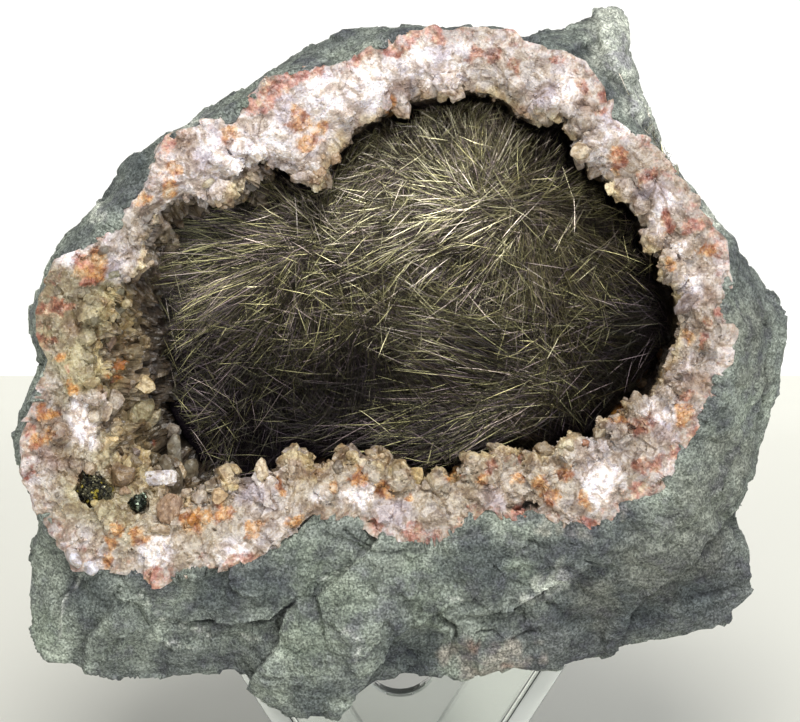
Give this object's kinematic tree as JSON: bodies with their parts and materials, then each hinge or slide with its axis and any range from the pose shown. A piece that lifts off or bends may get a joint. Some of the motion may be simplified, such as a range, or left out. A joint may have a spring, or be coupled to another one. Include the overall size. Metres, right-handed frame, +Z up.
{
  "type": "millerite mineral specimen",
  "caption": "Natural mineral specimen: hair-thin brassy needles matted in a quartz-lined hollow of grey rock, leaning back on a clear acrylic stand.",
  "frame": {"origin": "bottom centre of the whole display's box, on the surface that the stand's base rests on", "axes": "+Z up, -Y towards the viewer, who looks into the hollow; +X to the viewer's right and along the rock's longest side"},
  "size_m": [0.1188, 0.0742, 0.1302],
  "materials": {
    "host_rock": "fine-grained broken grey-green rock",
    "quartz": "sugary white to rust-stained quartz crystals",
    "millerite": "metallic olive-brass needles",
    "brassy_sulphide": "dark metallic with brass-yellow faces",
    "dark_sulphide": "green-black, glinting",
    "clear_acrylic": "clear polished cast acrylic"
  },
  "bodies": {
    "root": {"host_rock": "host_rock", "quartz_crust": "quartz", "millerite_hair": "millerite", "brassy_sulphide": "brassy_sulphide", "dark_sulphide": "dark_sulphide", "stand_base": "clear_acrylic", "stand_left_wall": "clear_acrylic", "stand_right_wall": "clear_acrylic", "stand_cross_plate": "clear_acrylic"}
  },
  "joints": []
}
